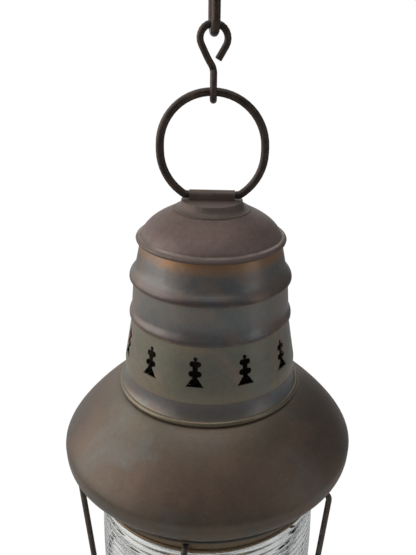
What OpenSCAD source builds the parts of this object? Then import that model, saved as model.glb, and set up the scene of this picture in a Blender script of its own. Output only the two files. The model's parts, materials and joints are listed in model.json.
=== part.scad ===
// Copper ship's lantern that hangs from one chain link by an S-hook and a ring.
// Millimetres, +Z up, the front of the lantern faces -Y.
// The origin is where the next chain link bears, inside the top bow of the link.
// The lantern itself is drawn around its own datum, z = 0 at the crease of the cap,
// and hung() drops every piece from there to its place under the origin.

/* [Hanging gear] */
// Wire diameter of the chain link
link_wire_d = 6; // [5:0.5:7]
// Clear width inside the chain link
link_in_w = 12; // [10:1:16]
// Clear length inside the chain link
link_in_l = 26; // [22:1:40]
// Turn of the chain link about the vertical, in degrees
link_turn = 7.5; // [0:0.5:12]
// Wire diameter of the S-hook
hook_wire_d = 5; // [4:0.5:5.5]
// Outside diameter of the hook's upper eye
hook_top_eye_d = 24; // [22:1:28]
// Outside diameter of the hook's lower eye
hook_low_eye_d = 22; // [21:1:26]
// Distance between the two eye centres
hook_pitch = 32.5; // [30:0.5:42]
// Wire diameter of the hanging ring
ring_wire_d = 6; // [5:0.5:7]
// Outside diameter of the hanging ring
ring_d = 82; // [68:1:100]
// Straight stretch in each side of the ring, which makes it slightly long
ring_stretch = 4; // [0:1:12]
// Diameter of the ring's two turned-in ends
ring_pin_d = 5; // [4:0.5:5]
// Length of the folded strap that holds the ring's ends
strap_w = 34; // [28:1:40]
// Gap left between two pieces that hang in one another
hang_gap = 0.25; // [0.2:0.05:0.4]

/* [Cap] */
// Diameter of the cap at its crease
cap_d = 112; // [100:1:134]
// Height of the dome above the crease
dome_h = 17.7; // [15:0.1:24]
// Depth of the rolled rim below the crease
cap_rim_h = 6; // [5:0.5:8]
// Lower diameter of the crown disc, where it sits on the dome
disc_base_d = 57.6; // [56:0.4:66]
// Upper diameter of the crown disc
disc_top_d = 45.6; // [42:0.4:50]
// Height of the crown disc above the dome
disc_h = 7; // [5:0.1:9]

/* [Chimney] */
// Sheet thickness of the spun copper
sheet_t = 1; // [0.8:0.1:1.2]
// Diameter of the upper drum at its open top
upper_top_d = 107.2; // [100:0.2:110]
// Height of the upper drum
upper_h = 31.5; // [28:0.5:40]
// Diameter over the upper drum's rolled lower edge
upper_edge_d = 125.8; // [123:0.2:132]
// Diameter of the middle drum at its top
middle_top_d = 120; // [117:0.2:121]
// Height of the middle drum that shows
middle_h = 30.5; // [26:0.5:40]
// Diameter over the middle drum's rolled lower edge
middle_edge_d = 127.8; // [126:0.2:133]
// Diameter of the vent drum at its top
vent_top_d = 124; // [122:0.2:124.6]
// Diameter of the vent drum at its lower edge
vent_low_d = 136.6; // [132:0.2:142]
// Height of the vent drum that shows
vent_h = 44; // [42:0.5:54]
// Number of vents round the drum
vent_count = 11; // [7:1:13]
// Height of one vent
vent_hole_h = 23; // [18:0.5:26]
// Width across the foot of one vent
vent_hole_w = 14; // [10:0.5:15]
// Height of the flared neck collar
neck_h = 17.8; // [15:0.2:24]
// Diameter of the neck collar's foot
neck_foot_d = 142.4; // [140:0.2:150]

/* [Shade] */
// Largest diameter of the shade
shade_d = 240; // [216:1:286]
// Height of the shade from its top to its rim
shade_h = 76; // [68:1:92]
// Diameter of the wired edge at the rim
rim_d = 212.8; // [208:0.2:216]
// Wire diameter of the rim
rim_wire_d = 3.2; // [2.8:0.2:3.6]

/* [Globe and guard] */
// Height of the glass globe
globe_h = 178; // [148:1:214]
// Largest diameter of the glass globe
globe_d = 189; // [186:1:194]
// Diameter of the glass globe at its ends
globe_end_d = 180; // [174:1:182]
// Glass thickness behind the ribs
glass_t = 4; // [3:0.5:5]
// Pitch of the ribs moulded round the globe
rib_pitch = 6; // [5:0.5:10]
// Depth of those ribs
rib_depth = 1.4; // [0.8:0.1:1.8]
// Depth of the collar that holds the top of the globe
collar_h = 22; // [18:1:28]
// Number of guard rods
rod_count = 5; // [3:1:6]
// Diameter of the guard rods
rod_d = 5; // [4:0.5:5.5]
// Distance of the rods from the centre where they turn down
rod_top_r = 111.5; // [109:0.5:114]
// Distance of the rods from the centre at the base
rod_low_r = 99.6; // [99.2:0.2:100]
// Compass angle of the first rod, from the front
rod_turn = -9; // [-36:1:36]

/* [Base] */
// Outside diameter of the base drum
base_d = 212; // [212:1:220]
// Height of the base drum and its foot
base_h = 71; // [66:1:90]
// Diameter over the foot
foot_d = 226; // [222:1:232]
// Number of air holes in one row of the base drum
air_hole_count = 24; // [12:1:30]
// Diameter of one air hole
air_hole_d = 6; // [4:0.5:8]
// Diameter of the oil font
font_d = 132; // [116:1:140]
// Height of the oil font
font_h = 46; // [38:1:48]

/* [Burner] */
// Width of the flat wick
wick_w = 16; // [12:1:18]
// Thickness of the flat wick
wick_t = 1.6; // [1.2:0.2:2]
// Diameter of the wick shaft
shaft_d = 3; // [2.5:0.5:3.5]
// Diameter of the wick knob
knob_d = 15; // [12:1:18]
// Diameter of the burner's air basket
basket_d = 52; // [46:1:58]

/* [Hidden] */

ROUND = 96;
FINE = 32;
WIRE_SIDES = 12;
run_gap = 0.08;
solder = 0.2;

// Ring and strap
strap_t = 1;
pin_bore_r = ring_pin_d / 2 + run_gap;
strap_r = pin_bore_r + strap_t;
disc_top_z = dome_h + disc_h;
pin_z = disc_top_z + strap_r;
ring_r = (ring_d - ring_wire_d) / 2;
pin_gap = 1;
ring_bend_r = ring_wire_d / 2 + 1;
ring_stub = 1.6;
ring_end_x = strap_w / 2 + 0.5 + ring_stub;
ring_end_a = asin(ring_end_x / (ring_r - ring_bend_r));
ring_low_z = pin_z + ring_bend_r + (ring_r - ring_bend_r) * cos(ring_end_a);
ring_top_z = ring_low_z + ring_stretch;
ring_bow_z = ring_top_z + ring_r;

// S-hook
top_eye_r = (hook_top_eye_d - hook_wire_d) / 2;
low_eye_r = (hook_low_eye_d - hook_wire_d) / 2;
low_eye_z = ring_bow_z - ring_wire_d / 2 - hang_gap + low_eye_r - hook_wire_d / 2;
top_eye_z = low_eye_z + hook_pitch;
leg_lean = 26;
end_lean = 30;
top_leg_l = 14.5;
top_end_l = 10.4;
low_leg_l = 11;
low_end_l = 8;

// Chain link
link_bow_r = (link_in_w + link_wire_d) / 2;
link_side = link_in_l - link_in_w;
link_low_z = top_eye_z + top_eye_r - hook_wire_d / 2 - hang_gap - link_wire_d / 2 + link_bow_r;
hang_z = link_low_z + link_side + link_in_w / 2;

// Levels down the lantern, from the crease of the cap
upper_top_z = -4.5;
upper_low_z = upper_top_z - upper_h;
middle_low_z = upper_low_z - middle_h;
vent_low_z = middle_low_z - vent_h;
shade_top_z = vent_low_z - neck_h;
rim_z = shade_top_z - shade_h;
collar_top_z = rim_z + 1;
gasket_t = 3.5;
globe_top_z = collar_top_z - sheet_t - gasket_t;
globe_low_z = globe_top_z - globe_h;
deck_z = globe_low_z - gasket_t - sheet_t;
base_low_z = deck_z - base_h;
collar_low_z = collar_top_z - collar_h;

// Cap
crease_r = cap_d / 2;
cap_t = 1.2;
rim_out = 1.2;
rim_drop = 1.7;
disc_in_r = disc_base_d / 2;
leg_count = 4;
leg_r = upper_top_d / 2 - sheet_t;
leg_t = 1.2;
leg_sweep = 9;
leg_low = 11;
shield_r = 34;
shield_z = 5;

// Drums
lap = 4;
upper_roll_r = 1.7;
upper_flare_h = 11.5;
upper_flare_r = upper_edge_d / 2 - 5.2;
middle_roll_r = 1.4;
middle_flare_h = 9.5;
middle_flare_r = middle_edge_d / 2 - 2.3;
vent_band_h = 7;
baffle_r = 50;
baffle_top_z = middle_low_z - 3;
baffle_low_z = vent_low_z + lap + 0.5;
tab_count = 3;
tab_w = 8;

// Vents
vent_turn = -9.5;
vent_drop = 8;
neck_bead_r = 2.4;

// Shade
shade_t = 1.2;
shade_hole_r = neck_foot_d / 2 - 4;
belly_drop = 50;

// Collar, globe and guard
collar_r = globe_end_d / 2 + 5.2;
collar_lip_r = 1.4;
plain_top = 17;
plain_low = 13;
arm_z = rim_z - rim_wire_d / 2 - rod_d / 2 - 1;
elbow_r = 6;
rod_foot_h = 9;
hoop_z = deck_z + 28;
hoop_d = 4;
seat_wall = 11;

// Base
base_r = base_d / 2;
base_t = 1.2;
shoulder_r = 3;
deck_hole_r = 76;
foot_lap = 8;
foot_flat = 6;
foot_h = 18;
air_row_z = deck_z - 17;
air_row_gap = 10;
plate_t = 1.6;
plate_z = base_low_z + 14;
lug_count = 3;
lug_sweep = 10;
notch_turn = 30;
bayonet_in_r = 88;
bayonet_t = 2;
bayonet_z = plate_z + plate_t + 2;
lug_reach = 4;
lug_gap = 0.4;
tab_t = 2;

// Font and burner
font_t = 1;
font_low_z = plate_z + plate_t;
font_top_z = font_low_z + font_h;
font_round = 6;
neck_hole_r = 15;
filler_x = 38;
filler_r = 8;
filler_h = 6;
collar_out_r = 19;
burner_collar_h = 8;
basket_z = font_top_z + burner_collar_h;
basket_h = 18;
burner_dome_h = 16;
tube_t = 0.8;
wick_clear = 0.4;
tube_top_z = basket_z + basket_h + 9;
shaft_z = basket_z + 8;
wheel_r = 3.5;
shaft_y = wick_t / 2 + wheel_r + 0.3;
shaft_in_x = -12;
shaft_out_x = 46;

// ---- helpers ----

// Drops a piece from the cap's datum to its place under the hanging point.
module hung() {
    translate([0, 0, -hang_z]) children();
}

// Points along a cubic curve with four control points.
function curve(p, n) = [for (i = [0:n]) let (t = i / n)
    pow(1 - t, 3) * p[0] + 3 * pow(1 - t, 2) * t * p[1]
    + 3 * (1 - t) * t * t * p[2] + pow(t, 3) * p[3]];

// Points along an arc in the outline plane.
function arc(c, r, a0, a1, n) = [for (i = [0:n]) let (a = a0 + (a1 - a0) * i / n)
    c + r * [cos(a), sin(a)]];

function direction(p, i) = let (d = p[min(i + 1, len(p) - 1)] - p[max(i - 1, 0)]) d / norm(d);

// The same line moved inwards by the sheet's thickness; lines run from top to bottom.
function inside(p, t) = [for (i = [0:len(p) - 1]) let (d = direction(p, i))
    p[i] + t * [d[1], -d[0]]];

function reversed(p) = [for (i = [len(p) - 1:-1:0]) p[i]];

// A spun sheet that follows an outline of [radius, height] points.
module spun(p, t) {
    rotate_extrude($fn = ROUND) polygon(concat(p, reversed(inside(p, t))));
}

// A flat ring.
module washer(outer_r, inner_r, h) {
    difference() {
        cylinder(r = outer_r, h = h, $fn = ROUND);
        translate([0, 0, -1]) cylinder(r = inner_r, h = h + 2, $fn = ROUND);
    }
}

// Wire bent round part of a circle in the XZ plane, angles counted from +X.
module wire_arc(bend_r, wire_d, a0, a1) {
    rotate([90, 0, 0]) rotate([0, 0, a0])
        rotate_extrude(angle = a1 - a0, $fn = ROUND)
            translate([bend_r, 0]) circle(d = wire_d, $fn = FINE);
}

// Points round an arc that starts along u and turns towards v.
function bend(c, u, v, r, a0, a1, n) = [for (i = [0:n]) let (a = a0 + (a1 - a0) * i / n)
    c + r * (cos(a) * u + sin(a) * v)];

// Round wire along a path of points. The vector flat is never in line with the path.
module bent_wire(path, wire_d, flat) {
    count = len(path);
    points = [for (i = [0:count - 1])
        let (t = direction(path, i), u = cross(t, flat) / norm(cross(t, flat)), v = cross(t, u))
        for (k = [0:WIRE_SIDES - 1])
            path[i] + wire_d / 2 * (cos(k * 360 / WIRE_SIDES) * u + sin(k * 360 / WIRE_SIDES) * v)];
    sides = [for (i = [0:count - 2], k = [0:WIRE_SIDES - 1]) let (next = (k + 1) % WIRE_SIDES)
        [(i + 1) * WIRE_SIDES + k, (i + 1) * WIRE_SIDES + next, i * WIRE_SIDES + next, i * WIRE_SIDES + k]];
    ends = [[for (k = [0:WIRE_SIDES - 1]) k],
            [for (k = [WIRE_SIDES - 1:-1:0]) (count - 1) * WIRE_SIDES + k]];
    polyhedron(points, concat(sides, ends));
}

// Copies round the vertical axis, the first at the front turned by start.
module round_about(count, start) {
    for (i = [0:count - 1]) rotate([0, 0, start + i * 360 / count]) children();
}

// A wall that runs straight down, flares out and rolls under to the next wall.
function drum_line(top_r, top_z, flare_r, flare_z, edge_r, low_z, roll_r, next_r) = concat(
    [[top_r, top_z]],
    curve([[flare_r, flare_z], [flare_r + 0.3 * (edge_r - flare_r), flare_z * 0.6 + low_z * 0.4],
           [edge_r, flare_z * 0.5 + low_z * 0.5], [edge_r, low_z + roll_r]], 10),
    [for (i = [1:5]) [edge_r - roll_r, low_z + roll_r] + roll_r * [cos(-18 * i), sin(-18 * i)]],
    [[next_r, low_z]]);

// ---- hanging gear ----

module chain_link() {
    color([0.13, 0.10, 0.09])
        rotate([0, 0, 90 + link_turn]) {
            translate([0, 0, link_low_z]) wire_arc(link_bow_r, link_wire_d, 180, 360);
            translate([0, 0, link_low_z + link_side]) wire_arc(link_bow_r, link_wire_d, 0, 180);
            for (x = [-link_bow_r, link_bow_r]) {
                translate([x, 0, link_low_z]) cylinder(d = link_wire_d, h = link_side, $fn = FINE);
            }
        }
}

// The upper eye lies across the lantern and the lower eye along it, so the shank twists.
module s_hook() {
    x = [1, 0, 0];
    y = [0, 1, 0];
    z = [0, 0, 1];
    top_leg = z * top_eye_z + top_eye_r * (-cos(leg_lean) * x - sin(leg_lean) * z);
    top_down = sin(leg_lean) * x - cos(leg_lean) * z;
    top_end = z * top_eye_z + top_eye_r * (cos(end_lean) * x - sin(end_lean) * z);
    low_leg = z * low_eye_z + low_eye_r * (cos(end_lean) * y + sin(end_lean) * z);
    low_up = -sin(end_lean) * y + cos(end_lean) * z;
    low_end = z * low_eye_z + low_eye_r * (-cos(end_lean) * y + sin(end_lean) * z);
    path = concat(
        [top_end + top_end_l * (-sin(end_lean) * x - cos(end_lean) * z)],
        bend(z * top_eye_z, x, z, top_eye_r, -end_lean, 180 + leg_lean, 16),
        curve([top_leg + top_leg_l * 0.55 * top_down, top_leg + top_leg_l * 1.05 * top_down,
               low_leg + low_leg_l * 1.1 * low_up, low_leg + low_leg_l * 0.4 * low_up], 9),
        bend(z * low_eye_z, y, z, low_eye_r, end_lean, -180 - end_lean, 16),
        [low_end + low_end_l * (sin(end_lean) * y + cos(end_lean) * z)]);
    color([0.13, 0.10, 0.09]) bent_wire(path, hook_wire_d, [1, 1, 0]);
}

// The ring's two ends bend level and carry pins that turn in the strap.
module hanging_ring() {
    x = [1, 0, 0];
    z = [0, 0, 1];
    end_x = ring_end_x - ring_stub;
    path = concat(
        [[-end_x, 0, pin_z]],
        bend([-ring_end_x, 0, pin_z + ring_bend_r], x, z, ring_bend_r, -90, -90 - ring_end_a, 4),
        bend(z * ring_low_z, x, z, ring_r, -94 - ring_end_a, -180, 8),
        bend(z * ring_top_z, x, z, ring_r, 180, 0, 28),
        bend(z * ring_low_z, x, z, ring_r, 0, -86 + ring_end_a, 8),
        bend([ring_end_x, 0, pin_z + ring_bend_r], x, z, ring_bend_r, -90 + ring_end_a, -90, 4),
        [[end_x, 0, pin_z]]);
    color([0.13, 0.10, 0.09]) {
        bent_wire(path, ring_wire_d, [0, 1, 0]);
        for (side = [-1, 1]) {
            translate([side * (end_x + ring_stub / 2), 0, pin_z]) rotate([0, -side * 90, 0])
                cylinder(d = ring_pin_d, h = end_x + ring_stub / 2 - pin_gap / 2, $fn = FINE);
        }
    }
}

// The strap is folded over the ring's ends; its legs pass through the crown and turn out.
module ring_strap() {
    turn_out = 9;
    leg_end_z = dome_h - cap_t - strap_t;
    color([0.30, 0.24, 0.20])
        difference() {
            union() {
                translate([-strap_w / 2, 0, pin_z]) rotate([0, 90, 0])
                    cylinder(r = strap_r, h = strap_w, $fn = FINE);
                translate([-strap_w / 2, -strap_r, leg_end_z])
                    cube([strap_w, 2 * strap_r, pin_z - leg_end_z]);
                translate([-strap_w / 2, -strap_r - turn_out, leg_end_z])
                    cube([strap_w, 2 * strap_r + 2 * turn_out, strap_t]);
            }
            translate([-strap_w / 2 - 1, 0, pin_z]) rotate([0, 90, 0])
                cylinder(r = pin_bore_r, h = strap_w + 2, $fn = FINE);
            translate([-strap_w / 2 - 1, -strap_r + strap_t, leg_end_z - 1])
                cube([strap_w + 2, 2 * strap_r - 2 * strap_t, disc_top_z - leg_end_z - 0.5]);
        }
}

module strap_slot() {
    translate([-strap_w / 2, -strap_r, -1])
        cube([strap_w, 2 * strap_r, disc_top_z + 10]);
}

// ---- cap ----

// The disc's side is hollow, like a trumpet's mouth.
module crown_disc() {
    top_r = disc_top_d / 2;
    color([0.36, 0.27, 0.24])
        difference() {
            translate([0, 0, dome_h]) rotate_extrude($fn = ROUND)
                polygon(concat([[0, disc_h]],
                    curve([[top_r, disc_h], [top_r + 0.8, disc_h * 0.48],
                           [disc_in_r - 4, 1.2], [disc_in_r, 0.6]], 8),
                    [[disc_in_r, 0], [0, 0]]));
            strap_slot();
        }
}

// The dome swells down to a groove, and the rim beyond it is rolled over and under.
function cap_line() = let (groove_r = crease_r - 2.6, out_r = crease_r + rim_out)
    concat(
        [[0.01, dome_h], [disc_in_r, dome_h]],
        curve([[disc_in_r + 1, dome_h - 0.4], [disc_in_r + 10, dome_h * 0.74],
               [groove_r - 4.4, dome_h * 0.46], [groove_r - 0.2, 0.9 - rim_drop]], 12),
        [[groove_r, -rim_drop], [groove_r + 0.8, 0.2 - rim_drop], [groove_r + 2.2, -0.2 - rim_drop],
         [out_r - 0.5, -1.1 - rim_drop], [out_r, -2.2 - rim_drop], [out_r - 0.3, 0.9 - cap_rim_h],
         [out_r - 1.4, -cap_rim_h], [out_r - 2.4, -0.3 - cap_rim_h]]);

module cap() {
    color([0.36, 0.27, 0.24])
        difference() {
            spun(cap_line(), cap_t);
            strap_slot();
        }
}

module heat_shield() {
    color([0.42, 0.30, 0.22])
        translate([0, 0, shield_z]) rotate_extrude($fn = ROUND)
            polygon([[0, 0], [shield_r, -3], [shield_r, -4], [0, -1]]);
}

// Four stems carry the shield under the crown.
module shield_stem() {
    stem_x = 14;
    stem_y = 16;
    color([0.45, 0.36, 0.22])
        for (x = [-stem_x, stem_x], y = [-stem_y, stem_y]) {
            translate([x, y, shield_z - 3]) cylinder(d = 4, h = dome_h - cap_t - shield_z + 3, $fn = FINE);
        }
}

// Bent legs that hold the cap clear of the upper drum.
module cap_legs() {
    leg_top_z = 0;
    spread = solder + leg_low * (upper_flare_r - upper_top_d / 2) / (upper_h - upper_flare_h);
    color([0.36, 0.27, 0.24])
        round_about(leg_count, 45)
            rotate([0, 0, -90 - leg_sweep / 2])
                rotate_extrude(angle = leg_sweep, $fn = ROUND)
                    polygon([[leg_r - leg_t, leg_top_z], [leg_r, leg_top_z],
                             [leg_r, upper_top_z], [leg_r + spread, upper_top_z - leg_low],
                             [leg_r + spread - leg_t, upper_top_z - leg_low]]);
}

// ---- chimney ----

module upper_drum() {
    line = drum_line(upper_top_d / 2, upper_top_z, upper_flare_r,
                     upper_low_z + upper_flare_h, upper_edge_d / 2, upper_low_z,
                     upper_roll_r, middle_top_d / 2);
    color([0.40, 0.37, 0.33]) spun(line, sheet_t);
}

module middle_drum() {
    line = drum_line(middle_top_d / 2, upper_low_z - sheet_t, middle_flare_r,
                     middle_low_z + middle_flare_h, middle_edge_d / 2, middle_low_z,
                     middle_roll_r, vent_top_d / 2);
    color([0.38, 0.37, 0.35])
        spun(concat([[middle_top_d / 2, upper_low_z + lap], [middle_top_d / 2, upper_low_z]], line),
             sheet_t);
}

// One vent: knob, two pairs of lobes, and a flared foot. It is drawn upright, foot at zero.
module vent_shape() {
    lobe_d = vent_hole_h * 0.21;
    knob_d = vent_hole_h * 0.14;
    lobe_x = vent_hole_w * 0.5 - lobe_d * 0.58;
    translate([0, vent_hole_h - knob_d / 2]) circle(d = knob_d, $fn = FINE);
    translate([-knob_d / 4, 0]) square([knob_d / 2, vent_hole_h - knob_d / 2]);
    for (side = [-1, 1]) {
        translate([side * lobe_x * 0.46, vent_hole_h * 0.76]) circle(d = lobe_d, $fn = FINE);
        translate([side * lobe_x * 0.60, vent_hole_h * 0.44]) circle(d = lobe_d, $fn = FINE);
    }
    translate([-lobe_x * 0.48, vent_hole_h * 0.2]) square([lobe_x * 0.96, vent_hole_h * 0.56]);
    polygon([[-vent_hole_w / 2, 0], [vent_hole_w / 2, 0], [vent_hole_w / 2 - 1.5, vent_hole_h * 0.08],
             [lobe_x * 0.6, vent_hole_h * 0.28], [-lobe_x * 0.6, vent_hole_h * 0.28],
             [-vent_hole_w / 2 + 1.5, vent_hole_h * 0.08]]);
}

module vent_drum() {
    cut_depth = 12;
    color([0.40, 0.39, 0.36])
        difference() {
            spun([[vent_top_d / 2, middle_low_z + lap], [vent_top_d / 2, middle_low_z - sheet_t],
                  [vent_low_d / 2, vent_low_z + vent_band_h], [vent_low_d / 2, vent_low_z]], sheet_t);
            round_about(vent_count, vent_turn)
                translate([0, -vent_top_d / 2 + cut_depth / 2, middle_low_z - vent_drop - vent_hole_h])
                    rotate([90, 0, 0]) linear_extrude(cut_depth) vent_shape();
        }
}

// An inner drum behind the vents keeps wind and rain off the flame.
module wind_baffle() {
    color([0.25, 0.20, 0.17])
        translate([0, 0, baffle_low_z]) washer(baffle_r, baffle_r - 0.8, baffle_top_z - baffle_low_z);
}

module baffle_tabs() {
    reach = vent_low_d / 2 - sheet_t - baffle_r;
    color([0.30, 0.24, 0.20])
        round_about(tab_count, 60)
            translate([-tab_w / 2, -baffle_r - reach - solder / 2, vent_low_z + lap + 1])
                cube([tab_w, reach + solder, 1.2]);
}

module neck_collar() {
    top_r = vent_low_d / 2 - sheet_t;
    foot_r = neck_foot_d / 2;
    bead_top_z = shade_top_z + 2 * neck_bead_r;
    color([0.37, 0.40, 0.43])
        spun(concat([[top_r, vent_low_z + lap]],
                    curve([[top_r, vent_low_z], [top_r + 0.1 * (foot_r - top_r), vent_low_z * 0.5 + bead_top_z * 0.5],
                           [foot_r - 0.3 * (foot_r - top_r), bead_top_z + 1], [foot_r, bead_top_z]], 8),
                    [[foot_r, shade_top_z]]), sheet_t);
}

module neck_ring() {
    color([0.52, 0.41, 0.22])
        translate([0, 0, shade_top_z + neck_bead_r]) rotate_extrude($fn = ROUND)
            intersection() {
                translate([neck_foot_d / 2, 0]) circle(r = neck_bead_r, $fn = FINE);
                translate([neck_foot_d / 2, -neck_bead_r]) square(2 * neck_bead_r);
            }
}

// ---- shade ----

function shade_line() = let (belly_r = shade_d / 2, neck_r = neck_foot_d / 2 + 0.8, z = shade_top_z)
    concat([[shade_hole_r, z]],
           curve([[neck_r, z], [neck_r + 0.15 * (belly_r - neck_r), z],
                  [belly_r, z - belly_drop * 0.79], [belly_r, z - belly_drop]], 22),
           curve([[belly_r - 0.1, z - belly_drop - 1.6], [belly_r, z - belly_drop - 0.56 * (shade_h - belly_drop)],
                  [rim_d / 2 + 9.4, rim_z + 12.5], [rim_d / 2 + 0.8, rim_z + 1.4]], 12));

module shade() {
    color([0.40, 0.31, 0.25]) spun(shade_line(), shade_t);
}

module shade_rim_wire() {
    color([0.26, 0.20, 0.18])
        translate([0, 0, rim_z]) rotate_extrude($fn = ROUND)
            translate([rim_d / 2, 0]) circle(d = rim_wire_d, $fn = FINE);
}

// ---- globe and guard ----

module globe_collar() {
    flange_r = rim_d / 2 - rim_wire_d / 2 + solder;
    opening_r = globe_end_d / 2 - 6;
    color([0.50, 0.36, 0.20])
        rotate_extrude($fn = ROUND) {
            translate([opening_r, collar_top_z - sheet_t]) square([flange_r - opening_r, sheet_t]);
            translate([collar_r - sheet_t, collar_low_z + collar_lip_r])
                square([sheet_t, collar_h - collar_lip_r - sheet_t / 2]);
            translate([collar_r, collar_low_z + collar_lip_r]) circle(r = collar_lip_r, $fn = FINE);
        }
}

module top_gasket() {
    color([0.80, 0.77, 0.70])
        translate([0, 0, globe_top_z]) washer(globe_end_d / 2 + 2, globe_end_d / 2 - 5, gasket_t);
}

module lower_gasket() {
    color([0.80, 0.77, 0.70])
        translate([0, 0, globe_low_z - gasket_t]) washer(globe_end_d / 2 + 2, globe_end_d / 2 - 5, gasket_t);
}

// Radius of the barrel at a height, before the ribs are added.
function barrel_r(z) = let (s = (z - (globe_top_z + globe_low_z) / 2) / (globe_h / 2))
    globe_end_d / 2 + (globe_d - globe_end_d) / 2 * (1 - s * s);

module globe() {
    rib_zone = globe_h - plain_top - plain_low;
    ribs = floor(rib_zone / rib_pitch);
    steps = 6;
    rib_start = globe_top_z - plain_top - (rib_zone - ribs * rib_pitch) / 2;
    outer = concat([[globe_end_d / 2, globe_top_z], [globe_end_d / 2, globe_top_z - plain_top + 3]],
        [for (i = [0:ribs * steps]) let (z = rib_start - i * rib_pitch / steps)
            [barrel_r(z) - rib_depth * (1 - abs(sin(i * 180 / steps))), z]],
        [[globe_end_d / 2, globe_low_z + plain_low - 3], [globe_end_d / 2, globe_low_z]]);
    inner = [for (i = [0:16]) let (z = globe_low_z + i * globe_h / 16)
        [min(barrel_r(z) - rib_depth, globe_end_d / 2 + 1) - glass_t, z]];
    color([0.90, 0.94, 0.94, 0.35])
        rotate_extrude($fn = ROUND) polygon(concat(outer, inner));
}

module globe_seat() {
    opening_r = globe_end_d / 2 - 6;
    color([0.42, 0.33, 0.24])
        translate([0, 0, deck_z]) rotate_extrude($fn = ROUND) {
            translate([opening_r, 0]) square([collar_r - opening_r, sheet_t]);
            translate([collar_r - sheet_t, 0]) square([sheet_t, seat_wall]);
            translate([collar_r - sheet_t / 2, seat_wall]) circle(r = 1.2, $fn = FINE);
        }
}

// One rod along +X: an arm out of the collar, an elbow, a leaning run, a slight bend
// back to upright and a threaded foot. The run is the inner tangent of the two bends.
module guard_rod() {
    arm_x = rod_top_r - elbow_r;
    elbow_z = arm_z - elbow_r;
    foot_z = deck_z + rod_foot_h;
    thread_l = base_t + 6;
    between = [rod_top_r - rod_low_r - 2 * elbow_r, elbow_z - foot_z];
    lean = atan2(between[0], between[1]) + asin(2 * elbow_r / norm(between));
    path = concat(
        [[collar_r - solder, 0, arm_z]],
        bend([arm_x, 0, elbow_z], [0, 0, 1], [1, 0, 0], elbow_r, 0, 90 + lean, 8),
        bend([rod_low_r + elbow_r, 0, foot_z], [-1, 0, 0], [0, 0, 1], elbow_r, lean, 0, 2),
        [[rod_low_r, 0, deck_z - thread_l]]);
    bent_wire(path, rod_d, [0, 1, 0]);
}

module guard_rods() {
    color([0.20, 0.17, 0.15]) round_about(rod_count, rod_turn - 90) guard_rod();
}

// The hoop lies inside the rods and is brazed to them.
module guard_hoop() {
    share = (arm_z - elbow_r - hoop_z) / (arm_z - elbow_r - deck_z - rod_foot_h);
    rod_r = rod_top_r + share * (rod_low_r - rod_top_r);
    color([0.20, 0.17, 0.15])
        translate([0, 0, hoop_z]) rotate_extrude($fn = ROUND)
            translate([rod_r + rod_d / 2 + hoop_d / 2 - solder, 0]) circle(d = hoop_d, $fn = FINE);
}

module rod_nuts() {
    nut_w = 8;
    nut_h = 4;
    color([0.55, 0.43, 0.22])
        round_about(rod_count, rod_turn)
            translate([0, -rod_low_r, 0])
                for (z = [deck_z, deck_z - base_t - nut_h]) {
                    translate([0, 0, z]) difference() {
                        cylinder(d = nut_w, h = nut_h, $fn = 6);
                        translate([0, 0, -1]) cylinder(d = rod_d, h = nut_h + 2, $fn = FINE);
                    }
                }
}

// ---- base ----

module base_drum() {
    line = concat([[deck_hole_r, deck_z], [base_r - shoulder_r - 0.5, deck_z]],
                  arc([base_r - shoulder_r, deck_z - shoulder_r], shoulder_r, 80, 0, 6),
                  [[base_r, base_low_z + foot_h - foot_lap]]);
    color([0.38, 0.30, 0.24])
        difference() {
            spun(line, base_t);
            round_about(rod_count, rod_turn)
                translate([0, -rod_low_r, deck_z - base_t - 1])
                    cylinder(r = rod_d / 2 + 0.2, h = base_t + 2, $fn = FINE);
            for (row = [0, 1]) {
                round_about(air_hole_count, row * 180 / air_hole_count)
                    translate([0, -base_r + 3, air_row_z - row * air_row_gap]) rotate([90, 0, 0])
                        cylinder(d = air_hole_d, h = 6, $fn = FINE);
            }
        }
}

module base_foot() {
    out_r = foot_d / 2;
    lap_r = base_r + sheet_t;
    lap_z = base_low_z + foot_h;
    line = concat([[lap_r, lap_z], [lap_r, lap_z - foot_lap]],
                  curve([[lap_r + 0.2, lap_z - foot_lap - 1], [lap_r + 0.8, base_low_z + 6],
                         [out_r - 1.6, base_low_z + 5], [out_r - 0.5, base_low_z + 3]], 8),
                  [[out_r, base_low_z + 1.8], [out_r - 0.6, base_low_z + 0.4],
                   [out_r - 1.8, base_low_z], [out_r - foot_flat - 2, base_low_z]]);
    color([0.38, 0.30, 0.24]) spun(line, sheet_t);
}

// A ring sector from the front, centred on angle mid.
module sector(outer_r, inner_r, h, mid, sweep) {
    rotate([0, 0, mid - 90 - sweep / 2]) rotate_extrude(angle = sweep, $fn = ROUND)
        translate([inner_r, 0]) square([outer_r - inner_r, h]);
}

module bayonet_ring() {
    stop_d = 3;
    stop_turn = 1.5;
    color([0.45, 0.36, 0.24])
        translate([0, 0, bayonet_z]) {
            difference() {
                washer(base_r - base_t, bayonet_in_r, bayonet_t);
                for (i = [0:lug_count - 1]) {
                    translate([0, 0, -1])
                        sector(bayonet_in_r + lug_reach + 1, bayonet_in_r - 1, bayonet_t + 2,
                               i * 360 / lug_count - notch_turn, lug_sweep + 4);
                }
            }
            for (i = [0:lug_count - 1]) {
                rotate([0, 0, i * 360 / lug_count + lug_sweep / 2 + stop_turn])
                    translate([0, -bayonet_in_r - lug_reach / 2, bayonet_t / 2])
                        cylinder(d = stop_d, h = bayonet_t / 2 + 2, $fn = FINE);
            }
        }
}

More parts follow.
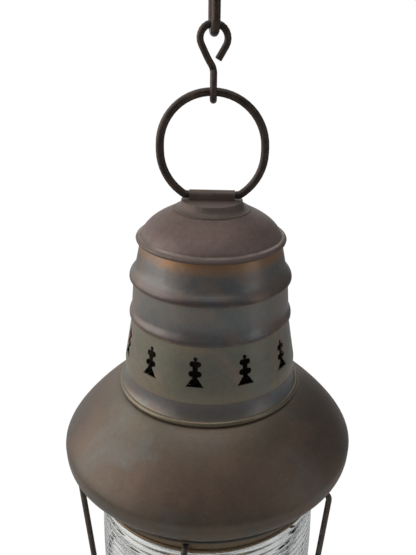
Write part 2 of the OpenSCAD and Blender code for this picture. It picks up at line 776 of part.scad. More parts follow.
module font_plate() {
    tab_out_r = bayonet_in_r - lug_gap;
    lug_z = bayonet_z + bayonet_t + lug_gap;
    color([0.38, 0.30, 0.24]) {
        translate([0, 0, plate_z]) cylinder(r = bayonet_in_r + 6, h = plate_t, $fn = ROUND);
        for (i = [0:lug_count - 1]) {
            translate([0, 0, plate_z + plate_t / 2])
                sector(tab_out_r, tab_out_r - tab_t, lug_z - plate_z - plate_t / 2 + 1.6,
                       i * 360 / lug_count, lug_sweep);
            translate([0, 0, lug_z])
                sector(bayonet_in_r + lug_reach, tab_out_r - tab_t, 1.6, i * 360 / lug_count, lug_sweep);
        }
    }
}

module font_grip() {
    grip_l = 64;
    grip_w = 8;
    grip_h = 9;
    color([0.45, 0.36, 0.24])
        translate([0, 0, plate_z - grip_h]) difference() {
            union() {
                translate([-grip_l / 2 + grip_w / 2, -grip_w / 2, 0])
                    cube([grip_l - grip_w, grip_w, grip_h]);
                for (x = [-1, 1]) {
                    translate([x * (grip_l - grip_w) / 2, 0, 0])
                        cylinder(d = grip_w, h = grip_h, $fn = FINE);
                }
            }
            for (side = [-1, 1]) {
                translate([0, side * (grip_w / 2 + 12), -1]) cylinder(r = 14, h = grip_h - 2, $fn = ROUND);
            }
        }
}

// ---- font and burner ----

module oil_font() {
    font_r = font_d / 2;
    line = concat([[neck_hole_r, font_top_z], [font_r - font_round - 10, font_top_z - 1.5]],
                  arc([font_r - font_round, font_top_z - font_round - 2.5], font_round, 80, 0, 6),
                  arc([font_r - font_round, font_low_z + font_round], font_round, 0, -90, 6),
                  [[0.01, font_low_z]]);
    color([0.62, 0.48, 0.25])
        difference() {
            union() {
                spun(line, font_t);
                translate([filler_x, 0, font_top_z - 3]) cylinder(r = filler_r, h = filler_h + 2, $fn = FINE);
            }
            translate([filler_x, 0, font_top_z - 8])
                cylinder(r = filler_r - 1.5, h = filler_h + 12, $fn = FINE);
        }
}

module filler_cap() {
    cap_h = 6;
    wall = 2;
    color([0.66, 0.52, 0.27])
        translate([filler_x, 0, font_top_z + filler_h - 1 + run_gap]) {
            difference() {
                translate([0, 0, -cap_h + 1.5]) cylinder(r = filler_r + run_gap + wall, h = cap_h, $fn = FINE);
                translate([0, 0, -cap_h]) cylinder(r = filler_r + run_gap, h = cap_h, $fn = FINE);
                round_about(16, 0) translate([0, -filler_r - run_gap - wall - 0.2, -cap_h])
                    cylinder(r = 0.7, h = cap_h + 3, $fn = 16);
            }
        }
}

module burner_collar() {
    color([0.66, 0.52, 0.27])
        translate([0, 0, font_top_z]) {
            washer(collar_out_r, neck_hole_r - 1.5, burner_collar_h);
            translate([0, 0, -3]) washer(neck_hole_r, neck_hole_r - 1.5, 4);
        }
}

module air_basket() {
    low_r = collar_out_r - 1;
    top_r = basket_d / 2;
    floor_t = 1;
    hole_count = 18;
    color([0.66, 0.52, 0.27])
        difference() {
            union() {
                spun([[top_r, basket_z + basket_h], [top_r, basket_z + basket_h - 5],
                      [low_r + 4, basket_z + 2], [low_r, basket_z]], 0.8);
                translate([0, 0, basket_z]) cylinder(r = low_r, h = floor_t, $fn = ROUND);
                translate([top_r - 6, shaft_y, shaft_z]) rotate([0, 90, 0])
                    cylinder(r = shaft_d / 2 + 2, h = 5, $fn = FINE);
            }
            translate([-wick_w / 2 - wick_clear - tube_t, -wick_t / 2 - wick_clear - tube_t, basket_z - 1])
                cube([wick_w + 2 * wick_clear + 2 * tube_t, wick_t + 2 * wick_clear + 2 * tube_t, 4]);
            translate([0, shaft_y, shaft_z]) rotate([0, 90, 0])
                cylinder(r = shaft_d / 2 + run_gap, h = shaft_out_x, $fn = FINE);
            round_about(hole_count, 10)
                translate([0, -top_r - 1, basket_z + basket_h - 2.6]) rotate([-90, 0, 0])
                    cylinder(d = 2.4, h = 4, $fn = FINE);
        }
}

module burner_dome() {
    top_r = basket_d / 2 - 0.8;
    z = basket_z + basket_h;
    slot_w = wick_w + 4;
    slot_t = wick_t + 4;
    color([0.66, 0.52, 0.27])
        difference() {
            spun(concat([[0.01, z + burner_dome_h], [3, z + burner_dome_h]],
                        curve([[5, z + burner_dome_h - 0.1], [top_r * 0.55, z + burner_dome_h - 1],
                               [top_r * 0.8, z + burner_dome_h * 0.3], [top_r + 0.8, z + 0.2]], 10),
                        [[top_r, z], [top_r, z - 2.5]]), 0.8);
            translate([-slot_w / 2, -slot_t / 2, z + 3]) cube([slot_w, slot_t, burner_dome_h]);
        }
}

module wick_tube() {
    in_w = wick_w + 2 * wick_clear;
    in_t = wick_t + 2 * wick_clear;
    low_z = font_top_z - 6;
    window_h = 9;
    color([0.60, 0.47, 0.25])
        difference() {
            translate([-in_w / 2 - tube_t, -in_t / 2 - tube_t, low_z])
                cube([in_w + 2 * tube_t, in_t + 2 * tube_t, tube_top_z - low_z]);
            translate([-in_w / 2, -in_t / 2, low_z - 1]) cube([in_w, in_t, tube_top_z - low_z + 2]);
            translate([-in_w / 2 + 1, 0, shaft_z - window_h / 2]) cube([in_w - 2, in_t, window_h]);
        }
}

module wick() {
    low_z = font_low_z + font_t + 5;
    color([0.90, 0.87, 0.78])
        translate([-wick_w / 2, -wick_t / 2, low_z])
            cube([wick_w, wick_t, tube_top_z + 2 - low_z]);
}

module wick_shaft() {
    wheel_x = wick_w / 2 - 3.5;
    color([0.60, 0.47, 0.25])
        translate([0, shaft_y, shaft_z]) rotate([0, 90, 0]) {
            translate([0, 0, shaft_in_x]) cylinder(d = shaft_d, h = shaft_out_x - shaft_in_x, $fn = FINE);
            for (x = [-wheel_x - 1, wheel_x - 1]) {
                translate([0, 0, x]) cylinder(r = wheel_r, h = 2, $fn = FINE);
            }
        }
}

module wick_knob() {
    knob_t = 4;
    color([0.66, 0.52, 0.27])
        translate([shaft_out_x - knob_t - 1, shaft_y, shaft_z]) rotate([0, 90, 0])
            difference() {
                cylinder(d = knob_d, h = knob_t, $fn = ROUND);
                translate([0, 0, -1]) cylinder(d = shaft_d, h = knob_t + 2, $fn = FINE);
                round_about(20, 0) translate([0, -knob_d / 2 - 0.2, -1])
                    cylinder(r = 0.8, h = knob_t + 2, $fn = 16);
            }
}

hung() chain_link();
hung() s_hook();
hung() hanging_ring();
hung() ring_strap();
hung() crown_disc();
hung() cap();
hung() heat_shield();
hung() shield_stem();
hung() cap_legs();
hung() upper_drum();
hung() middle_drum();
hung() vent_drum();
hung() wind_baffle();
hung() baffle_tabs();
hung() neck_collar();
hung() neck_ring();
hung() shade();
hung() shade_rim_wire();
hung() globe_collar();
hung() top_gasket();
hung() globe();
hung() lower_gasket();
hung() globe_seat();
hung() guard_rods();
hung() guard_hoop();
hung() rod_nuts();
hung() base_drum();
hung() base_foot();
hung() bayonet_ring();
hung() font_plate();
hung() font_grip();
hung() oil_font();
hung() filler_cap();
hung() burner_collar();
hung() air_basket();
hung() burner_dome();
hung() wick_tube();
hung() wick();
hung() wick_shaft();
hung() wick_knob();
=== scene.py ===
"""Looks for the hanging oil lantern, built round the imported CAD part."""
import json
import math

import bmesh
import bpy
from mathutils import Euler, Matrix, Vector


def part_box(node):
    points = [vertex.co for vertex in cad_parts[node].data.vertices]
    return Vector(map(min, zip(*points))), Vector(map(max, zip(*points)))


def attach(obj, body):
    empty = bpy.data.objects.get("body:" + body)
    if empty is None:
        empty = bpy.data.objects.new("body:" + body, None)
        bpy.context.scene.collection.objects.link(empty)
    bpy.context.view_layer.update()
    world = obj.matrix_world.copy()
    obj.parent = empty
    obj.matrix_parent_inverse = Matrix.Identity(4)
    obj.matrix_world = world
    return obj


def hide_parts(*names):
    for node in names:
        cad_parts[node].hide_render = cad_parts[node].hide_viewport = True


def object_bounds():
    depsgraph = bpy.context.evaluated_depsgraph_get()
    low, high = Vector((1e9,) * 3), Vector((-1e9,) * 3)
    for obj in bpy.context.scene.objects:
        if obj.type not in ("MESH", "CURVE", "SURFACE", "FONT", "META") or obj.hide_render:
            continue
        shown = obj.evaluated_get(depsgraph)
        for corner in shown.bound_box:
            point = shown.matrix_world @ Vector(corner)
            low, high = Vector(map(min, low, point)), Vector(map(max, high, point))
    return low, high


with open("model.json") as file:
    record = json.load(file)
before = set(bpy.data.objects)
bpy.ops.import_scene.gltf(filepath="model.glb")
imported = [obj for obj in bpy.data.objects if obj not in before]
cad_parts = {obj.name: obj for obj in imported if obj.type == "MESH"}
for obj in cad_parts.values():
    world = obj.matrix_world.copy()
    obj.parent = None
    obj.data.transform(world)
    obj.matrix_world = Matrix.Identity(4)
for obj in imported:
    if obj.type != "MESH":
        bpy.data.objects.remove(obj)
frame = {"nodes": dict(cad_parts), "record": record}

CAD_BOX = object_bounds()
RECORD = frame["record"]
BODY_OF = {node: body for body, nodes in RECORD["behaviour"]["bodies"].items() for node in nodes}
SMOOTH_ANGLE = math.radians(34)
WELD = 2e-6

# The painted highlight line in the cap's groove, a pale line standing in for light caught there: its height
# above the cap's lower edge and half its width.
CAP_GROOVE_UP = 0.0048
CAP_GROOVE_HALF = 0.0006

# Room and floor: sizes in metres, compass angles in degrees (0 at the front, positive to the right).
WORLD_FILL = 0.36
ROOM_TONE = (0.145, 0.15, 0.16)
ROOM_RADIUS = 2.4
ROOM_START, ROOM_END = -42, 152
ROOM_TOP = 3.0
ROOM_STEPS = 48
FLOOR_HALF = 6.0
FLOOR_DROP = 0.35
FLOOR_GLOW = 0.97
FLOOR_WHITE = 1.03
ROOM_GAP = 0.01

# Lights: name, place, aim, size, watts, colour.
LIGHTS = (
    ("key_left", (-1.75, 0.05, 0.35), (0, 0, -0.3), (2.0, 1.8), 19.5, (1.0, 0.95, 0.89)),
    ("fill_right", (1.45, -0.75, 0.1), (0, 0, -0.3), (0.35, 1.4), 2.6, (0.86, 0.94, 1.0)),
    ("top_soft", (-0.1, -0.5, 1.6), (0, 0, -0.2), (1.2, 1.2), 4.2, (1, 1, 1)),
)

# Camera: lens in millimetres, turns in degrees, place in metres.
SENSOR = 36.0
LENS = 42.16
PITCH = 22.9
YAW = -3.52
ROLL = 2.07
SHIFT = -0.072
CAMERA_PLACE = (0.0, -0.4696, -0.0100)


def srgb(r, g, b):
    """A colour written as it is seen on screen, made linear."""
    def lin(c):
        c /= 255
        return c / 12.92 if c <= 0.04045 else ((c + 0.055) / 1.055) ** 2.4
    return (lin(r), lin(g), lin(b), 1)


# ---- shader helpers ----

class Tree:
    """A material's node tree with short calls for the nodes used here."""

    def __init__(self, name):
        self.mat = bpy.data.materials.new(name)
        self.mat.use_nodes = True
        self.nodes = self.mat.node_tree.nodes
        self.links = self.mat.node_tree.links
        self.shader = self.nodes["Principled BSDF"]
        self.place = self.node("ShaderNodeTexCoord").outputs["Object"]
        self.split = self.node("ShaderNodeSeparateXYZ")
        self.link(self.place, self.split.inputs[0])

    def node(self, kind, **props):
        n = self.nodes.new(kind)
        for key, value in props.items():
            setattr(n, key, value)
        return n

    def link(self, out, into):
        self.links.new(out, into)

    def feed(self, socket, value):
        if hasattr(value, "is_output"):
            self.link(value, socket)
        else:
            socket.default_value = value

    def math(self, op, a, b=0.0, c=None, clamp=False):
        n = self.node("ShaderNodeMath", operation=op, use_clamp=clamp)
        self.feed(n.inputs[0], a)
        self.feed(n.inputs[1], b)
        if c is not None:
            self.feed(n.inputs[2], c)
        return n.outputs[0]

    def noise(self, scale, detail=3.0, rough=0.55, vector=None, distort=0.0):
        n = self.node("ShaderNodeTexNoise")
        n.inputs["Scale"].default_value = scale
        n.inputs["Detail"].default_value = detail
        n.inputs["Roughness"].default_value = rough
        n.inputs["Distortion"].default_value = distort
        self.link(vector or self.place, n.inputs["Vector"])
        return n.outputs["Fac"]

    def fit(self, value, low, high, to_low=0.0, to_high=1.0):
        n = self.node("ShaderNodeMapRange")
        self.feed(n.inputs["Value"], value)
        for key, v in (("From Min", low), ("From Max", high), ("To Min", to_low), ("To Max", to_high)):
            n.inputs[key].default_value = v
        return n.outputs["Result"]

    def ramp(self, fac, stops):
        n = self.node("ShaderNodeValToRGB")
        band = n.color_ramp
        while len(band.elements) < len(stops):
            band.elements.new(0.5)
        for element, (at, colour) in zip(band.elements, stops):
            element.position = at
            element.color = colour
        self.link(fac, n.inputs[0])
        return n.outputs["Color"]

    def mix(self, fac, a, b, mode="MIX"):
        n = self.node("ShaderNodeMix", data_type="RGBA", blend_type=mode)
        self.feed(n.inputs[0], fac)
        self.feed(n.inputs[6], a)
        self.feed(n.inputs[7], b)
        return n.outputs[2]

    def rings(self, scale):
        """Noise that depends on height alone, as the marks of spinning do."""
        up = self.node("ShaderNodeCombineXYZ")
        self.link(self.split.outputs["Z"], up.inputs["Z"])
        return self.noise(scale, 2.0, 0.7, up.outputs[0])

    def bump(self, height, distance, strength=1.0, under=None):
        n = self.node("ShaderNodeBump")
        n.inputs["Distance"].default_value = distance
        n.inputs["Strength"].default_value = strength
        self.link(height, n.inputs["Height"])
        if under is not None:
            self.link(under, n.inputs["Normal"])
        return n.outputs["Normal"]


def patina_and_painted_light(name, span, stops, warm, cool, blotch=26.0, metal=0.55, rough=(0.36, 0.58), spots=0.5,
           highlight_lines=None):
    """Aged spun copper: a colour for each height, which on some pieces holds painted light and shade, clouds
    of warm and cool tarnish, spinning marks, and optional painted highlight lines at set heights.
    """
    t = Tree(name)
    height = t.fit(t.split.outputs["Z"], span[1], span[0])
    wobble = t.fit(t.noise(14.0, 2.0), 0.3, 0.7, -0.03, 0.03)
    base = t.ramp(t.math("ADD", height, wobble, clamp=True), stops)
    cloud = t.noise(blotch, 4.0, 0.6, distort=0.6)
    base = t.mix(t.fit(cloud, 0.50, 0.72, 0.0, 0.62), base, warm)
    base = t.mix(t.fit(t.noise(blotch * 0.8, 3.0, 0.6, distort=1.1), 0.52, 0.72, 0.0, 0.55), base, cool)
    speck = t.noise(240.0, 4.0, 0.7)
    base = t.mix(t.fit(speck, 0.35, 0.75, 0.0, 0.34 * spots), base, srgb(40, 32, 28))
    base = t.mix(t.fit(t.noise(700.0, 2.0, 0.7), 0.58, 0.75, 0.0, 0.30 * spots), base, srgb(150, 132, 112))
    # Painted highlight: pale lines at the given heights, standing in for light caught along a groove.
    if highlight_lines:
        edge = None
        for at, width in highlight_lines:
            away = t.math("ABSOLUTE", t.math("SUBTRACT", t.split.outputs["Z"], at))
            near = t.fit(away, width, 0.0)
            edge = near if edge is None else t.math("MAXIMUM", edge, near)
        highlight_mix = t.math("MULTIPLY", edge, t.fit(t.noise(60.0, 3.0), 0.42, 0.62, 0.35, 0.9))
        base = t.mix(highlight_mix, base, srgb(176, 166, 152))
    t.link(base, t.shader.inputs["Base Color"])
    t.shader.inputs["Metallic"].default_value = metal
    lines = t.rings(900.0)
    r = t.math("ADD", t.fit(cloud, 0.3, 0.7, rough[0], rough[1]), t.fit(lines, 0.3, 0.7, -0.05, 0.05))
    t.link(r, t.shader.inputs["Roughness"])
    n = t.bump(lines, 0.00006)
    n = t.bump(t.noise(45.0, 2.0), 0.0012, 0.35, n)
    n = t.bump(speck, 0.00008, 0.8, n)
    t.link(n, t.shader.inputs["Normal"])
    return t.mat


def brass(name, light, dark, metal=0.85, rough=(0.24, 0.42)):
    """Brass with tarnish in clouds and fine turning marks."""
    t = Tree(name)
    cloud = t.noise(55.0, 4.0, 0.62, distort=0.5)
    base = t.mix(t.fit(cloud, 0.38, 0.66), light, dark)
    base = t.mix(t.fit(t.noise(420.0, 3.0, 0.7), 0.55, 0.75, 0.0, 0.5), base, srgb(58, 44, 30))
    t.link(base, t.shader.inputs["Base Color"])
    t.shader.inputs["Metallic"].default_value = metal
    t.link(t.fit(cloud, 0.3, 0.7, rough[0], rough[1]), t.shader.inputs["Roughness"])
    n = t.bump(t.rings(1200.0), 0.00005)
    t.link(t.bump(t.noise(320.0, 3.0), 0.00006, 0.8, n), t.shader.inputs["Normal"])
    return t.mat


def iron(name, base_col, worn_col, wear_and_sheen_col, rough=(0.34, 0.55)):
    """Dark wire with a brown bloom and worn touches; its fine pale flecks are partly wear and partly painted
    sheen.
    """
    t = Tree(name)
    cloud = t.noise(90.0, 4.0, 0.6, distort=0.4)
    base = t.mix(t.fit(cloud, 0.42, 0.68), base_col, worn_col)
    # Fine pale flecks: partly wear, partly painted sheen.
    base = t.mix(t.fit(t.noise(900.0, 3.0, 0.7), 0.56, 0.72, 0.0, 0.6), base, wear_and_sheen_col)
    t.link(base, t.shader.inputs["Base Color"])
    t.shader.inputs["Metallic"].default_value = 0.6
    t.link(t.fit(cloud, 0.3, 0.7, rough[0], rough[1]), t.shader.inputs["Roughness"])
    n = t.bump(t.noise(700.0, 3.0, 0.6), 0.00012, 0.8)
    t.link(t.bump(t.noise(160.0, 2.0), 0.0004, 0.5, n), t.shader.inputs["Normal"])
    return t.mat


def ribbed_glass():
    t = Tree("ribbed_glass")
    t.shader.inputs["Base Color"].default_value = (0.95, 0.98, 0.97, 1)
    t.shader.inputs["Transmission Weight"].default_value = 1.0
    t.shader.inputs["IOR"].default_value = 1.5
    t.link(t.fit(t.noise(60.0, 3.0), 0.35, 0.7, 0.015, 0.06), t.shader.inputs["Roughness"])
    n = t.bump(t.noise(40.0, 2.0), 0.0007, 0.15)
    t.link(n, t.shader.inputs["Normal"])
    return t.mat


def cloth(name, light, dark, pitch):
    """A woven or felted fibre surface."""
    t = Tree(name)
    wave = t.node("ShaderNodeTexWave", wave_type="BANDS", bands_direction="X")
    wave.inputs["Scale"].default_value = pitch
    wave.inputs["Distortion"].default_value = 1.2
    t.link(t.place, wave.inputs["Vector"])
    cross = t.node("ShaderNodeTexWave", wave_type="BANDS", bands_direction="Z")
    cross.inputs["Scale"].default_value = pitch
    cross.inputs["Distortion"].default_value = 1.2
    t.link(t.place, cross.inputs["Vector"])
    weave = t.math("MULTIPLY", wave.outputs["Fac"], cross.outputs["Fac"])
    base = t.mix(t.math("MULTIPLY", weave, t.fit(t.noise(300.0), 0.3, 0.7, 0.6, 1.0)), dark, light)
    t.link(base, t.shader.inputs["Base Color"])
    t.shader.inputs["Roughness"].default_value = 0.95
    t.link(t.bump(weave, 0.0002, 0.8), t.shader.inputs["Normal"])
    return t.mat


def span_of(*nodes):
    boxes = [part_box(n) for n in nodes]
    return min(b[0].z for b in boxes), max(b[1].z for b in boxes)


def materials():
    m = {}
    # Cap colours by height: the lighter stop at 0.70 is a painted highlight by the groove, and the darker
    # last stop is painted shade along the rim's lower edge. The other stops are the copper's own tone.
    lo, hi = span_of("cap")
    m["cap"] = patina_and_painted_light("cap_copper", (lo, hi), [
        (0.0, srgb(106, 88, 81)), (0.35, srgb(106, 86, 80)), (0.70, srgb(114, 97, 92)),
        (1.0, srgb(90, 78, 73))],
        srgb(112, 88, 82), srgb(92, 84, 80), 22.0, 0.35, (0.48, 0.66), 0.9,
        [(lo + CAP_GROOVE_UP, CAP_GROOVE_HALF)])
    lo, hi = span_of("crown_disc")
    m["crown_disc"] = patina_and_painted_light("disc_copper", (lo, hi), [
        (0.0, srgb(98, 84, 78)), (0.5, srgb(88, 74, 68)), (1.0, srgb(96, 84, 76))],
        srgb(108, 88, 76), srgb(92, 90, 78), 40.0, 0.35, (0.45, 0.62), 0.8)
    m["ring_strap"] = patina_and_painted_light("strap_copper", span_of("ring_strap"), [
        (0.0, srgb(92, 80, 74)), (1.0, srgb(84, 72, 66))], srgb(112, 94, 82), srgb(86, 82, 78), 60.0, 0.45)
    # Upper drum: the dark stop at 0.93, just above the lower edge, is painted shade in the crease there. The
    # other stops are the copper's own tones.
    lo, hi = span_of("upper_drum")
    m["upper_drum"] = patina_and_painted_light("upper_copper", (lo, hi), [
        (0.0, srgb(166, 122, 80)), (0.20, srgb(142, 114, 92)), (0.36, srgb(108, 104, 102)),
        (0.62, srgb(104, 103, 102)),
        (0.82, srgb(96, 88, 85)), (0.93, srgb(78, 66, 64)), (1.0, srgb(120, 104, 90))],
        srgb(140, 112, 88), srgb(90, 100, 104), 24.0, 0.62, (0.30, 0.46), 0.4)
    # Middle drum: the dark stop at 0.94 is painted shade in the crease above the lower edge, and the bright
    # last stop is a painted highlight on that edge.
    lo, hi = span_of("middle_drum")
    m["middle_drum"] = patina_and_painted_light("middle_copper", (lo, hi), [
        (0.0, srgb(128, 124, 114)), (0.30, srgb(122, 120, 114)), (0.60, srgb(114, 113, 111)),
        (0.85, srgb(102, 95, 93)),
        (0.94, srgb(84, 74, 72)), (1.0, srgb(140, 122, 96))],
        srgb(160, 128, 102), srgb(104, 118, 124), 22.0, 0.62, (0.30, 0.46), 0.4)
    lo, hi = span_of("vent_drum")
    m["vent_drum"] = patina_and_painted_light("vent_copper", (lo, hi), [
        (0.0, srgb(128, 124, 108)), (0.4, srgb(113, 111, 98)), (0.8, srgb(118, 114, 99)),
        (1.0, srgb(128, 120, 102))],
        srgb(160, 126, 110), srgb(108, 116, 112), 20.0, 0.58, (0.34, 0.5), 0.5)
    lo, hi = span_of("neck_collar")
    m["neck_collar"] = patina_and_painted_light("neck_copper", (lo, hi), [
        (0.0, srgb(112, 100, 90)), (0.4, srgb(108, 104, 103)), (0.75, srgb(112, 106, 98)),
        (1.0, srgb(126, 110, 86))],
        srgb(122, 82, 66), srgb(106, 122, 130), 26.0, 0.6, (0.32, 0.46), 0.4)
    m["neck_ring"] = patina_and_painted_light("neck_bead", span_of("neck_ring"), [
        (0.0, srgb(116, 107, 88)),
        (1.0, srgb(98, 90, 76))], srgb(124, 104, 84), srgb(92, 94, 86), 30.0, 0.6, (0.3, 0.42))
    # Shade: the height colours are partly the copper's own tone and partly painted light. They are lighter at
    # the top by the neck, where the flare faces up, and darkest at the rim as the surface turns away.
    lo, hi = span_of("shade")
    m["shade"] = patina_and_painted_light("shade_copper", (lo, hi), [
        (0.0, srgb(100, 91, 78)), (0.16, srgb(86, 75, 64)), (0.42, srgb(88, 73, 63)),
        (0.66, srgb(86, 77, 66)),
        (0.86, srgb(86, 78, 66)), (1.0, srgb(80, 71, 59))],
        srgb(116, 92, 74), srgb(92, 100, 98), 13.0, 0.52, (0.36, 0.5), 0.5)
    m["shade_rim_wire"] = m["shade"]
    # Collar: its golden brown, lighter toward the lower lip, is partly the copper's own tone and partly
    # painted warm light caught on the band under the shade.
    m["globe_collar"] = patina_and_painted_light("collar_copper", span_of("globe_collar"), [
        (0.0, srgb(104, 88, 68)), (0.8, srgb(112, 96, 74)), (1.0, srgb(120, 100, 76))],
        srgb(136, 108, 78), srgb(92, 90, 80), 24.0, 0.6, (0.32, 0.46))
    # A darker copper for the parts inside the chimney and under the cap: the darkening is painted shade for
    # those enclosed places.
    inner = patina_and_painted_light("painted_shade_inner_copper", (-0.3, -0.15), [(0.0, srgb(66, 54, 48)), (1.0, srgb(58, 46, 40))],
                   srgb(80, 60, 48), srgb(56, 54, 50), 30.0, 0.3, (0.5, 0.7))
    for n in ("heat_shield", "shield_stem", "cap_legs", "wind_baffle", "baffle_tabs"):
        m[n] = inner
    lo, hi = span_of("base_drum", "base_foot")
    base = patina_and_painted_light("base_copper", (lo, hi), [
        (0.0, srgb(112, 98, 84)), (0.3, srgb(104, 92, 82)), (0.7, srgb(96, 86, 78)), (1.0, srgb(88, 76, 64))],
        srgb(130, 104, 84), srgb(94, 98, 96), 14.0, 0.55, (0.34, 0.5), 0.5)
    for n in ("base_drum", "base_foot", "font_plate"):
        m[n] = base
    aged = brass("aged_brass", srgb(150, 124, 82), srgb(96, 78, 52), 0.75, (0.3, 0.5))
    for n in ("globe_seat", "rod_nuts", "bayonet_ring", "font_grip"):
        m[n] = aged
    clean = brass("clean_brass", srgb(190, 158, 98), srgb(132, 104, 62))
    for n in ("oil_font", "filler_cap", "burner_collar", "air_basket",
              "burner_dome", "wick_tube", "wick_shaft", "wick_knob"):
        m[n] = clean
    dark = iron("dark_iron", srgb(52, 44, 40), srgb(78, 62, 52), srgb(110, 92, 80))
    for n in ("chain_link", "s_hook", "hanging_ring"):
        m[n] = dark
    rods = iron("rod_iron", srgb(70, 62, 56), srgb(92, 80, 70), srgb(124, 116, 108))
    for n in ("guard_rods", "guard_hoop"):
        m[n] = rods
    m["globe"] = ribbed_glass()
    felt = cloth("gasket_felt", srgb(206, 198, 182), srgb(160, 150, 132), 420.0)
    m["top_gasket"] = felt
    m["lower_gasket"] = felt
    m["wick"] = cloth("wick_cotton", srgb(226, 218, 198), srgb(168, 154, 126), 260.0)
    return m


# ---- pieces ----

def stand_in(node, material):
    """A welded, smooth-shaded copy of a CAD node with its own material."""
    mesh = frame["nodes"][node].data.copy()
    mesh.name = node + "_look"
    bm = bmesh.new()
    bm.from_mesh(mesh)
    bmesh.ops.remove_doubles(bm, verts=bm.verts, dist=WELD)
    bmesh.ops.dissolve_degenerate(bm, edges=bm.edges, dist=WELD)
    bm.to_mesh(mesh)
    bm.free()
    if mesh.has_custom_normals:
        mesh.attributes.remove(mesh.attributes["custom_normal"])
    mesh.shade_smooth()
    mesh.set_sharp_from_angle(angle=SMOOTH_ANGLE)
    mesh.materials.clear()
    mesh.materials.append(material)
    piece = bpy.data.objects.new(node + "_look", mesh)
    bpy.context.scene.collection.objects.link(piece)
    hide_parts(node)
    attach(piece, BODY_OF[node])


# ---- studio ----

def area_light(name, place, aim, size, power, colour):
    data = bpy.data.lights.new(name, "AREA")
    data.shape = "RECTANGLE"
    data.size, data.size_y = size
    data.energy = power
    data.color = colour
    light = bpy.data.objects.new(name, data)
    light.location = place
    light.rotation_euler = (Vector(aim) - Vector(place)).to_track_quat("-Z", "Y").to_euler()
    bpy.context.scene.collection.objects.link(light)


def plane(name, half, place):
    corners = [(-half, -half, 0), (half, -half, 0), (half, half, 0), (-half, half, 0)]
    mesh = bpy.data.meshes.new(name)
    mesh.from_pydata(corners, [], [(0, 1, 2, 3)])
    obj = bpy.data.objects.new(name, mesh)
    obj.location = place
    bpy.context.scene.collection.objects.link(obj)
    return obj


def screen(name, radius, start, end, low, high):
    """Part of an upright cylinder round the object, from one compass angle to another."""
    points, faces = [], []
    for i in range(ROOM_STEPS + 1):
        a = math.radians(start + (end - start) * i / ROOM_STEPS)
        x, y = radius * math.sin(a), -radius * math.cos(a)
        points += [(x, y, low), (x, y, high)]
    for i in range(ROOM_STEPS):
        faces.append((2 * i, 2 * i + 2, 2 * i + 3, 2 * i + 1))
    mesh = bpy.data.meshes.new(name)
    mesh.from_pydata(points, [], faces)
    obj = bpy.data.objects.new(name, mesh)
    bpy.context.scene.collection.objects.link(obj)
    return obj


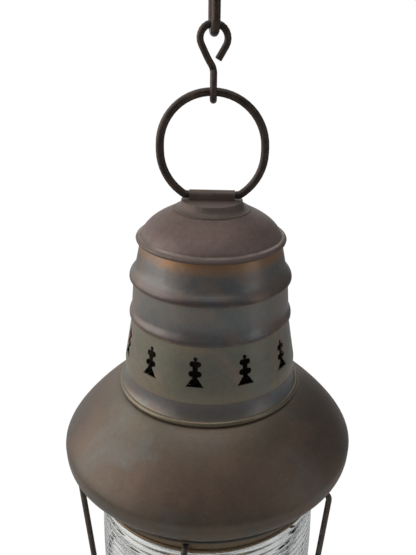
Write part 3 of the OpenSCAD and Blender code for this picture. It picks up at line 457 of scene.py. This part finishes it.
def studio():
    world = bpy.data.worlds.new("studio")
    bpy.context.scene.world = world
    world.use_nodes = True
    nodes, links = world.node_tree.nodes, world.node_tree.links
    nodes.clear()
    out = nodes.new("ShaderNodeOutputWorld")
    path = nodes.new("ShaderNodeLightPath")
    seen = nodes.new("ShaderNodeMath")
    seen.operation = "MAXIMUM"
    links.new(path.outputs["Is Camera Ray"], seen.inputs[0])
    either = nodes.new("ShaderNodeMath")
    either.operation = "MAXIMUM"
    links.new(path.outputs["Is Glossy Ray"], either.inputs[0])
    links.new(path.outputs["Is Transmission Ray"], either.inputs[1])
    links.new(either.outputs[0], seen.inputs[1])
    white = nodes.new("ShaderNodeBackground")
    white.inputs["Color"].default_value = (1, 1, 1, 1)
    white.inputs["Strength"].default_value = 1.0
    fill = nodes.new("ShaderNodeBackground")
    fill.inputs["Color"].default_value = (1, 1, 1, 1)
    fill.inputs["Strength"].default_value = WORLD_FILL
    mix = nodes.new("ShaderNodeMixShader")
    links.new(seen.outputs[0], mix.inputs[0])
    links.new(fill.outputs[0], mix.inputs[1])
    links.new(white.outputs[0], mix.inputs[2])
    links.new(mix.outputs[0], out.inputs[0])

    floor = plane("floor", FLOOR_HALF, (0, 0, CAD_BOX[0][2] - FLOOR_DROP))
    mat = bpy.data.materials.new("floor_white")
    mat.use_nodes = True
    nodes, links = mat.node_tree.nodes, mat.node_tree.links
    shader = nodes["Principled BSDF"]
    shader.inputs["Base Color"].default_value = (0.86, 0.86, 0.86, 1)
    shader.inputs["Roughness"].default_value = 0.9
    glow = nodes.new("ShaderNodeEmission")
    glow.inputs["Strength"].default_value = FLOOR_WHITE
    path = nodes.new("ShaderNodeLightPath")
    share = nodes.new("ShaderNodeMath")
    share.operation = "MULTIPLY"
    share.inputs[1].default_value = FLOOR_GLOW
    links.new(path.outputs["Is Camera Ray"], share.inputs[0])
    mix = nodes.new("ShaderNodeMixShader")
    links.new(share.outputs[0], mix.inputs[0])
    links.new(shader.outputs[0], mix.inputs[1])
    links.new(glow.outputs[0], mix.inputs[2])
    links.new(mix.outputs[0], nodes["Material Output"].inputs[0])
    floor.data.materials.append(mat)

    room_low = CAD_BOX[0][2] - FLOOR_DROP + ROOM_GAP
    room = screen("dark_room", ROOM_RADIUS, ROOM_START, ROOM_END, room_low, ROOM_TOP)
    mat = bpy.data.materials.new("room_dark")
    mat.use_nodes = True
    nodes, links = mat.node_tree.nodes, mat.node_tree.links
    dim = nodes.new("ShaderNodeEmission")
    dim.inputs["Color"].default_value = (*ROOM_TONE, 1)
    links.new(dim.outputs[0], nodes["Material Output"].inputs[0])
    room.data.materials.append(mat)
    room.visible_camera = False
    room.visible_diffuse = False
    room.visible_shadow = False
    room.visible_transmission = False

    for row in LIGHTS:
        area_light(*row)


def camera():
    data = bpy.data.cameras.new("camera")
    data.sensor_fit = "VERTICAL"
    data.sensor_height = SENSOR
    data.lens = LENS
    data.clip_start = 0.01
    cam = bpy.data.objects.new("camera", data)
    cam.location = CAMERA_PLACE
    data.shift_x = SHIFT
    turn = Euler((0, 0, math.radians(YAW))).to_matrix() @ Euler((math.radians(90 - PITCH), 0, 0)).to_matrix()
    cam.rotation_euler = (turn @ Euler((0, 0, math.radians(ROLL))).to_matrix()).to_euler()
    bpy.context.scene.collection.objects.link(cam)
    bpy.context.scene.camera = cam


looks = materials()
for node in sorted(frame["nodes"]):
    stand_in(node, looks[node])
studio()
camera()
bpy.context.scene.view_settings.view_transform = "Standard"
